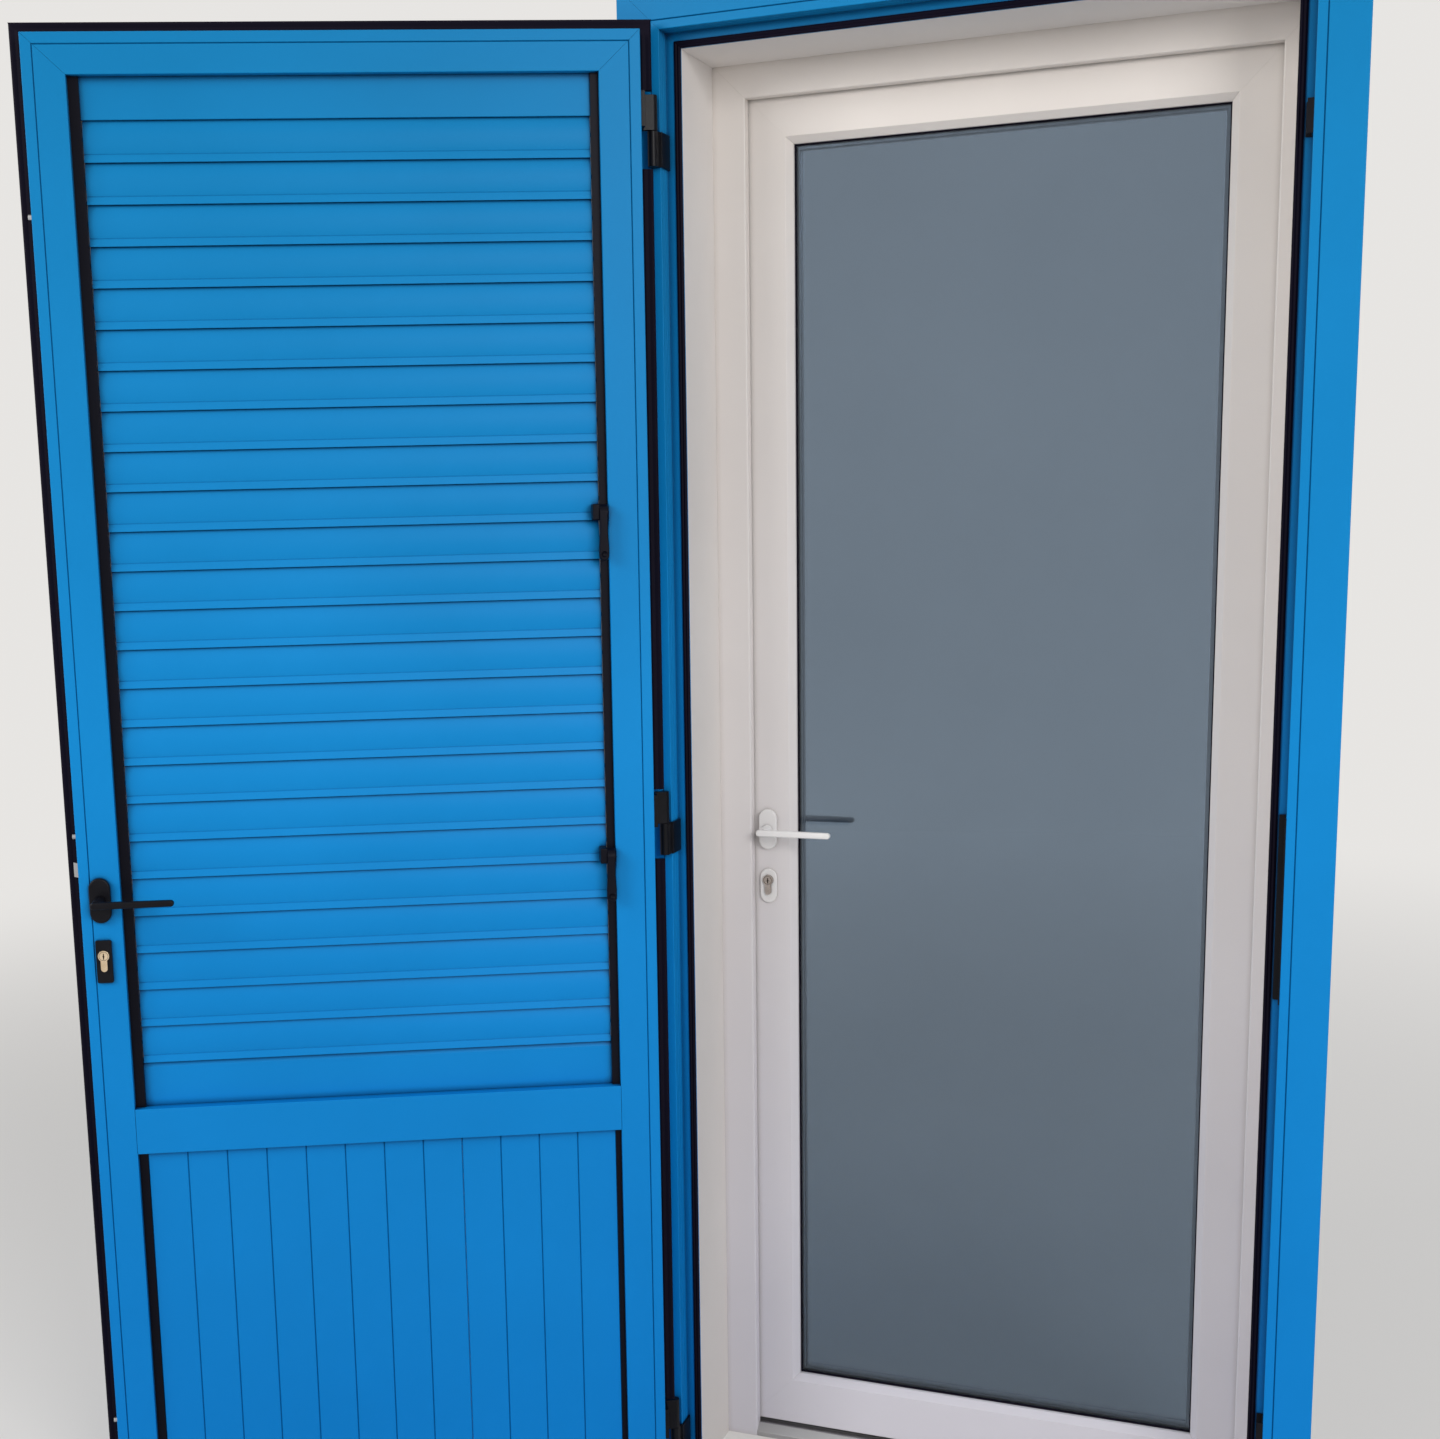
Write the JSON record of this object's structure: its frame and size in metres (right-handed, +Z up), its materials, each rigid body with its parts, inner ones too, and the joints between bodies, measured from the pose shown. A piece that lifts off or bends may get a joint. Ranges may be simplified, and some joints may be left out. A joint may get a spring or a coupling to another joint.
{
  "type": "window with shutter",
  "caption": "Tall glazed window door in a white plastic frame, with a lined reveal, a blue metal shutter frame and a hinged louvred shutter leaf with tilting slats.",
  "frame": {"origin": "centre of the underside of the white window frame, half-way through its depth", "axes": "+X to the right as seen from the street, +Y into the room, +Z up"},
  "size_m": [1.787, 0.8045, 2.3456],
  "materials": {
    "white_pvc": "satin",
    "white_board": "matt",
    "white_lacquer": "satin",
    "grey_metal": "satin",
    "blue_aluminium": "satin",
    "black_rubber": "matt",
    "black_metal": "satin",
    "black_plastic": "matt",
    "steel": "satin",
    "white_hinge": "satin",
    "glass": "clear"
  },
  "bodies": {
    "frame": {"window_frame": "white_pvc", "threshold": "grey_metal", "reveal_lining": "white_board", "shutter_jamb_left": "blue_aluminium", "shutter_jamb_right": "blue_aluminium", "shutter_head": "blue_aluminium", "frame_gaskets": "black_rubber", "shutter_hinge_flags": "black_metal", "strike_plates": "steel", "sash_hinge_frame_parts": "white_hinge"},
    "leaf": {"leaf_hinge_stile": "blue_aluminium", "leaf_lock_stile": "blue_aluminium", "leaf_top_rail": "blue_aluminium", "leaf_mid_rail": "blue_aluminium", "leaf_bottom_rail": "blue_aluminium", "leaf_gasket": "black_rubber", "side_channels": "black_plastic", "slat_fillers": "blue_aluminium", "stave_panel": "blue_aluminium", "shutter_hinge_leaves": "black_metal", "shutter_lock": "steel", "shutter_lock_plates": "black_metal"},
    "sash": {"sash_frame": "white_pvc", "glass_unit": "glass", "sash_hinge_sash_parts": "white_hinge", "window_lock": "steel", "window_lock_plates": "white_lacquer"},
    "shutter_handle": {"shutter_handle": "black_metal"},
    "shutter_bolts": {"shutter_bolt_bar": "steel"},
    "shutter_latch": {"shutter_latch": "steel"},
    "window_handle": {"window_handle": "white_lacquer"},
    "window_latch": {"window_latch": "steel"},
    "tie_rod_upper": {"tie_rod_upper": "black_plastic"},
    "tie_rod_lower": {"tie_rod_lower": "black_plastic"},
    "slat_01": {"slat_01": "blue_aluminium"},
    "slat_02": {"slat_02": "blue_aluminium"},
    "slat_03": {"slat_03": "blue_aluminium"},
    "slat_04": {"slat_04": "blue_aluminium"},
    "slat_05": {"slat_05": "blue_aluminium"},
    "slat_06": {"slat_06": "blue_aluminium"},
    "slat_07": {"slat_07": "blue_aluminium"},
    "slat_08": {"slat_08": "blue_aluminium"},
    "slat_09": {"slat_09": "blue_aluminium"},
    "slat_10": {"slat_10": "blue_aluminium", "slat_grip_upper": "black_plastic"},
    "slat_11": {"slat_11": "blue_aluminium"},
    "slat_12": {"slat_12": "blue_aluminium"},
    "slat_13": {"slat_13": "blue_aluminium"},
    "slat_14": {"slat_14": "blue_aluminium"},
    "slat_15": {"slat_15": "blue_aluminium"},
    "slat_16": {"slat_16": "blue_aluminium"},
    "slat_17": {"slat_17": "blue_aluminium"},
    "slat_18": {"slat_18": "blue_aluminium"},
    "slat_19": {"slat_19": "blue_aluminium", "slat_grip_lower": "black_plastic"},
    "slat_20": {"slat_20": "blue_aluminium"},
    "slat_21": {"slat_21": "blue_aluminium"},
    "slat_22": {"slat_22": "blue_aluminium"},
    "slat_23": {"slat_23": "blue_aluminium"},
    "slat_24": {"slat_24": "blue_aluminium"}
  },
  "joints": [
    {"name": "leaf_swing", "type": "hinge", "parent": "frame", "child": "leaf", "pos_m": [-0.4711, -0.2255, 0], "axis": [0, 0, 1], "range_deg": [-27, 153]},
    {"name": "sash_swing", "type": "hinge", "parent": "frame", "child": "sash", "pos_m": [0.4312, 0.062, 0], "axis": [0, 0, 1], "range_deg": [-100, 0]},
    {"name": "shutter_handle_turn", "type": "hinge", "parent": "leaf", "child": "shutter_handle", "pos_m": [-1.22129, -0.65387, 1.029], "axis": [0.454, -0.891, 0], "range_deg": [-90, 0]},
    {"name": "shutter_bolt_slide", "type": "slide", "parent": "leaf", "child": "shutter_bolts", "axis": [0, 0, 1], "range_m": [0, 0.0361]},
    {"name": "shutter_latch_push", "type": "slide", "parent": "leaf", "child": "shutter_latch", "axis": [-0.891, -0.454, 0], "range_m": [-0.009, 0], "stiffness_N_per_m": 400},
    {"name": "window_handle_turn", "type": "hinge", "parent": "sash", "child": "window_handle", "pos_m": [-0.3662, 0.021, 1.066], "axis": [0, 1, 0], "range_deg": [0, 45]},
    {"name": "window_latch_slide", "type": "slide", "parent": "sash", "child": "window_latch", "axis": [1, 0, 0], "range_m": [0, 0.0091]},
    {"name": "slat_01_tilt", "type": "hinge", "parent": "leaf", "child": "slat_01", "pos_m": [-0.86297, -0.44762, 2.1284], "axis": [-0.891, -0.454, 0], "range_deg": [0, 80]},
    {"name": "slat_02_tilt", "type": "hinge", "parent": "leaf", "child": "slat_02", "pos_m": [-0.86297, -0.44762, 2.0706], "axis": [-0.891, -0.454, 0], "range_deg": [0, 80]},
    {"name": "slat_03_tilt", "type": "hinge", "parent": "leaf", "child": "slat_03", "pos_m": [-0.86297, -0.44762, 2.0128], "axis": [-0.891, -0.454, 0], "range_deg": [0, 80]},
    {"name": "slat_04_tilt", "type": "hinge", "parent": "leaf", "child": "slat_04", "pos_m": [-0.86297, -0.44762, 1.955], "axis": [-0.891, -0.454, 0], "range_deg": [0, 80]},
    {"name": "slat_05_tilt", "type": "hinge", "parent": "leaf", "child": "slat_05", "pos_m": [-0.86297, -0.44762, 1.8972], "axis": [-0.891, -0.454, 0], "range_deg": [0, 80]},
    {"name": "slat_06_tilt", "type": "hinge", "parent": "leaf", "child": "slat_06", "pos_m": [-0.86297, -0.44762, 1.8394], "axis": [-0.891, -0.454, 0], "range_deg": [0, 80]},
    {"name": "slat_07_tilt", "type": "hinge", "parent": "leaf", "child": "slat_07", "pos_m": [-0.86297, -0.44762, 1.7816], "axis": [-0.891, -0.454, 0], "range_deg": [0, 80]},
    {"name": "slat_08_tilt", "type": "hinge", "parent": "leaf", "child": "slat_08", "pos_m": [-0.86297, -0.44762, 1.7238], "axis": [-0.891, -0.454, 0], "range_deg": [0, 80]},
    {"name": "slat_09_tilt", "type": "hinge", "parent": "leaf", "child": "slat_09", "pos_m": [-0.86297, -0.44762, 1.666], "axis": [-0.891, -0.454, 0], "range_deg": [0, 80]},
    {"name": "slat_10_tilt", "type": "hinge", "parent": "leaf", "child": "slat_10", "pos_m": [-0.86297, -0.44762, 1.6082], "axis": [-0.891, -0.454, 0], "range_deg": [0, 80]},
    {"name": "slat_11_tilt", "type": "hinge", "parent": "leaf", "child": "slat_11", "pos_m": [-0.86297, -0.44762, 1.5504], "axis": [-0.891, -0.454, 0], "range_deg": [0, 80]},
    {"name": "slat_12_tilt", "type": "hinge", "parent": "leaf", "child": "slat_12", "pos_m": [-0.86297, -0.44762, 1.4926], "axis": [-0.891, -0.454, 0], "range_deg": [0, 80]},
    {"name": "slat_13_tilt", "type": "hinge", "parent": "leaf", "child": "slat_13", "pos_m": [-0.86297, -0.44762, 1.4348], "axis": [-0.891, -0.454, 0], "range_deg": [0, 80]},
    {"name": "slat_14_tilt", "type": "hinge", "parent": "leaf", "child": "slat_14", "pos_m": [-0.86297, -0.44762, 1.377], "axis": [-0.891, -0.454, 0], "range_deg": [0, 80]},
    {"name": "slat_15_tilt", "type": "hinge", "parent": "leaf", "child": "slat_15", "pos_m": [-0.86297, -0.44762, 1.3192], "axis": [-0.891, -0.454, 0], "range_deg": [0, 80]},
    {"name": "slat_16_tilt", "type": "hinge", "parent": "leaf", "child": "slat_16", "pos_m": [-0.86297, -0.44762, 1.2614], "axis": [-0.891, -0.454, 0], "range_deg": [0, 80]},
    {"name": "slat_17_tilt", "type": "hinge", "parent": "leaf", "child": "slat_17", "pos_m": [-0.86297, -0.44762, 1.2036], "axis": [-0.891, -0.454, 0], "range_deg": [0, 80]},
    {"name": "slat_18_tilt", "type": "hinge", "parent": "leaf", "child": "slat_18", "pos_m": [-0.86297, -0.44762, 1.1458], "axis": [-0.891, -0.454, 0], "range_deg": [0, 80]},
    {"name": "slat_19_tilt", "type": "hinge", "parent": "leaf", "child": "slat_19", "pos_m": [-0.86297, -0.44762, 1.088], "axis": [-0.891, -0.454, 0], "range_deg": [0, 80]},
    {"name": "slat_20_tilt", "type": "hinge", "parent": "leaf", "child": "slat_20", "pos_m": [-0.86297, -0.44762, 1.0302], "axis": [-0.891, -0.454, 0], "range_deg": [0, 80]},
    {"name": "slat_21_tilt", "type": "hinge", "parent": "leaf", "child": "slat_21", "pos_m": [-0.86297, -0.44762, 0.9724], "axis": [-0.891, -0.454, 0], "range_deg": [0, 80]},
    {"name": "slat_22_tilt", "type": "hinge", "parent": "leaf", "child": "slat_22", "pos_m": [-0.86297, -0.44762, 0.9146], "axis": [-0.891, -0.454, 0], "range_deg": [0, 80]},
    {"name": "slat_23_tilt", "type": "hinge", "parent": "leaf", "child": "slat_23", "pos_m": [-0.86297, -0.44762, 0.8568], "axis": [-0.891, -0.454, 0], "range_deg": [0, 80]},
    {"name": "slat_24_tilt", "type": "hinge", "parent": "leaf", "child": "slat_24", "pos_m": [-0.86297, -0.44762, 0.799], "axis": [-0.891, -0.454, 0], "range_deg": [0, 80]},
    {"name": "tie_rod_upper_swing", "type": "hinge", "parent": "slat_10", "child": "tie_rod_upper", "pos_m": [-0.54187, -0.27713, 1.61334], "axis": [-0.891, -0.454, 0], "range_deg": [-80, 0]},
    {"name": "tie_rod_lower_swing", "type": "hinge", "parent": "slat_19", "child": "tie_rod_lower", "pos_m": [-0.54187, -0.27713, 1.09314], "axis": [-0.891, -0.454, 0], "range_deg": [-80, 0]}
  ],
  "couplings": [
    {"joint": "shutter_bolt_slide", "follows": "shutter_handle_turn", "m_per_rad": -0.022918},
    {"joint": "window_latch_slide", "follows": "window_handle_turn", "m_per_rad": 0.011459},
    {"joint": "slat_01_tilt", "follows": "slat_10_tilt", "ratio": 1},
    {"joint": "slat_02_tilt", "follows": "slat_10_tilt", "ratio": 1},
    {"joint": "slat_03_tilt", "follows": "slat_10_tilt", "ratio": 1},
    {"joint": "slat_04_tilt", "follows": "slat_10_tilt", "ratio": 1},
    {"joint": "slat_05_tilt", "follows": "slat_10_tilt", "ratio": 1},
    {"joint": "slat_06_tilt", "follows": "slat_10_tilt", "ratio": 1},
    {"joint": "slat_07_tilt", "follows": "slat_10_tilt", "ratio": 1},
    {"joint": "slat_08_tilt", "follows": "slat_10_tilt", "ratio": 1},
    {"joint": "slat_09_tilt", "follows": "slat_10_tilt", "ratio": 1},
    {"joint": "slat_11_tilt", "follows": "slat_10_tilt", "ratio": 1},
    {"joint": "slat_12_tilt", "follows": "slat_10_tilt", "ratio": 1},
    {"joint": "tie_rod_upper_swing", "follows": "slat_10_tilt", "ratio": -1},
    {"joint": "slat_13_tilt", "follows": "slat_19_tilt", "ratio": 1},
    {"joint": "slat_14_tilt", "follows": "slat_19_tilt", "ratio": 1},
    {"joint": "slat_15_tilt", "follows": "slat_19_tilt", "ratio": 1},
    {"joint": "slat_16_tilt", "follows": "slat_19_tilt", "ratio": 1},
    {"joint": "slat_17_tilt", "follows": "slat_19_tilt", "ratio": 1},
    {"joint": "slat_18_tilt", "follows": "slat_19_tilt", "ratio": 1},
    {"joint": "slat_20_tilt", "follows": "slat_19_tilt", "ratio": 1},
    {"joint": "slat_21_tilt", "follows": "slat_19_tilt", "ratio": 1},
    {"joint": "slat_22_tilt", "follows": "slat_19_tilt", "ratio": 1},
    {"joint": "slat_23_tilt", "follows": "slat_19_tilt", "ratio": 1},
    {"joint": "slat_24_tilt", "follows": "slat_19_tilt", "ratio": 1},
    {"joint": "tie_rod_lower_swing", "follows": "slat_19_tilt", "ratio": -1}
  ]
}
